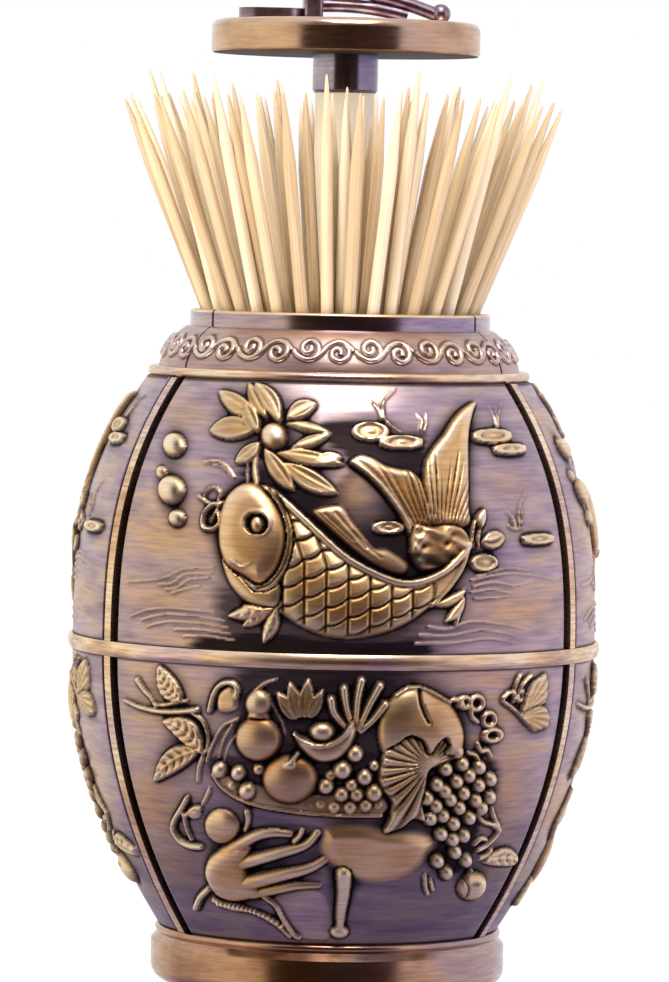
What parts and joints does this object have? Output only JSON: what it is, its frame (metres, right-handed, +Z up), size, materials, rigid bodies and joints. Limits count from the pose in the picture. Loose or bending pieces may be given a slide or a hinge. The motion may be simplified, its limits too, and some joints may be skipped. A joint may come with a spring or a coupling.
{
  "type": "toothpick dispenser",
  "caption": "Barrel-shaped bronze toothpick dispenser: pulling up the lid lifts a tray and fans the toothpicks out over the neck.",
  "frame": {"origin": "on the table, under the middle of the foot", "axes": "+Z up along the stem; the front panel faces -Y"},
  "size_m": [0.0808, 0.0815, 0.1617],
  "materials": {
    "relief_bronze": "satin",
    "bright_bronze": "satin",
    "turned_bronze": "satin",
    "ornament_bronze": "satin",
    "gunmetal": "gloss",
    "cream_plastic": "satin",
    "liner_plastic": "satin",
    "zinc_steel": "satin",
    "ring_rubber": "matte",
    "pad_foam": "matte",
    "bamboo": "matte"
  },
  "bodies": {
    "vessel": {"upper_stave_front": "relief_bronze", "upper_stave_right": "relief_bronze", "upper_stave_left": "relief_bronze", "lower_stave_front": "relief_bronze", "lower_stave_right": "relief_bronze", "lower_stave_left": "relief_bronze", "upper_rib_front_right": "bright_bronze", "upper_rib_back": "bright_bronze", "upper_rib_front_left": "bright_bronze", "lower_rib_front_right": "bright_bronze", "lower_rib_back": "bright_bronze", "lower_rib_front_left": "bright_bronze", "shoulder_hoop": "bright_bronze", "equator_hoop": "bright_bronze", "foot_ring": "turned_bronze", "liner_cup": "liner_plastic", "guide_post": "zinc_steel", "post_cap": "zinc_steel", "friction_ring": "ring_rubber", "tie_washer": "zinc_steel", "tie_nut": "zinc_steel", "base_plate": "zinc_steel", "base_pad": "pad_foam"},
    "lift": {"lid_plate": "turned_bronze", "lid_ornament": "ornament_bronze", "lid_screw": "zinc_steel", "stem_collar": "gunmetal", "stem_tube": "cream_plastic", "tray": "cream_plastic", "tray_clip": "zinc_steel", "toothpicks_low": "bamboo", "toothpicks_high": "bamboo", "toothpicks_inner": "bamboo"}
  },
  "joints": [
    {"name": "lift_slide", "type": "slide", "parent": "vessel", "child": "lift", "axis": [0, 0, 1], "range_m": [-0.04385, 0], "deforming": ["toothpicks_low", "toothpicks_high", "toothpicks_inner"]}
  ]
}
